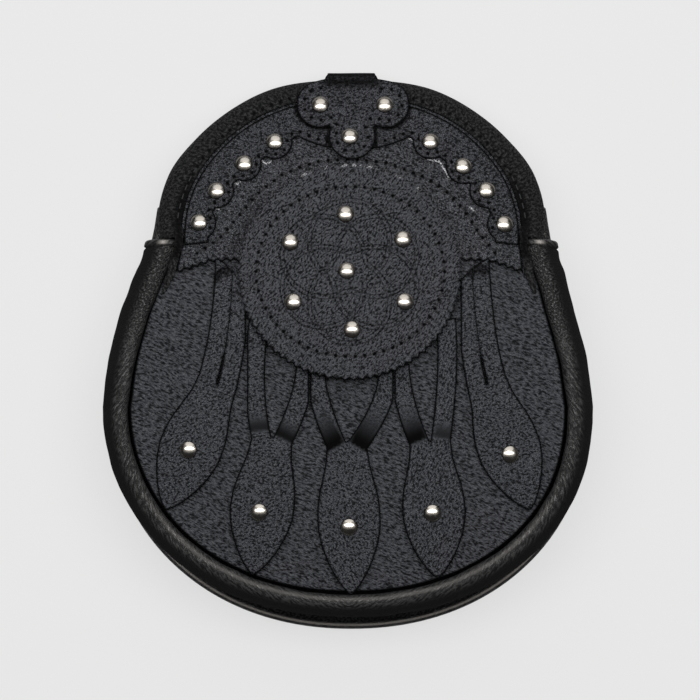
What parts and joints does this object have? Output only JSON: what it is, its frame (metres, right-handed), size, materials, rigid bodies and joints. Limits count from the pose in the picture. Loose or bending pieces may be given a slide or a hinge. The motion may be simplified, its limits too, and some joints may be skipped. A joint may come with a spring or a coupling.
{
  "type": "sporran pouch",
  "caption": "Black leather day sporran pouch: crowned grained front in a fat rolled seam, studded scalloped flap with pinked disc, leaf tassels, and a trefoil tab that becomes the hanging loop",
  "frame": {"origin": "centre of the footprint of the pouch lying on its back, on the surface it lies on", "axes": "+Z out of the front of the pouch, +Y towards its top, +X to the right seen from the front"},
  "size_m": [0.1784, 0.2008, 0.04],
  "materials": {
    "grained_leather": "embossed pebble grain, semi-matt black",
    "smooth_leather": "soft smooth nappa, low sheen black",
    "back_leather": "plain smooth black, matt",
    "nickel": "polished nickel"
  },
  "bodies": {
    "root": {"back_panel": "back_leather", "back_piping": "smooth_leather", "gusset": "smooth_leather", "front_panel": "grained_leather", "front_piping": "smooth_leather", "flap": "grained_leather", "top_band": "smooth_leather", "yoke": "grained_leather", "roundel": "grained_leather", "trefoil_strap": "grained_leather", "flap_snap": "nickel", "leaf_far_left": "grained_leather", "leaf_left": "grained_leather", "leaf_centre": "grained_leather", "leaf_right": "grained_leather", "leaf_far_right": "grained_leather", "stud_yoke_1": "nickel", "stud_yoke_2": "nickel", "stud_yoke_3": "nickel", "stud_yoke_4": "nickel", "stud_yoke_5": "nickel", "stud_yoke_6": "nickel", "stud_yoke_7": "nickel", "stud_yoke_8": "nickel", "stud_trefoil_1": "nickel", "stud_trefoil_2": "nickel", "stud_trefoil_3": "nickel", "stud_roundel_1": "nickel", "stud_roundel_2": "nickel", "stud_roundel_3": "nickel", "stud_roundel_4": "nickel", "stud_roundel_5": "nickel", "stud_roundel_6": "nickel", "stud_roundel_7": "nickel", "stud_leaf_1": "nickel", "stud_leaf_2": "nickel", "stud_leaf_3": "nickel", "stud_leaf_4": "nickel", "stud_leaf_5": "nickel"}
  },
  "joints": []
}
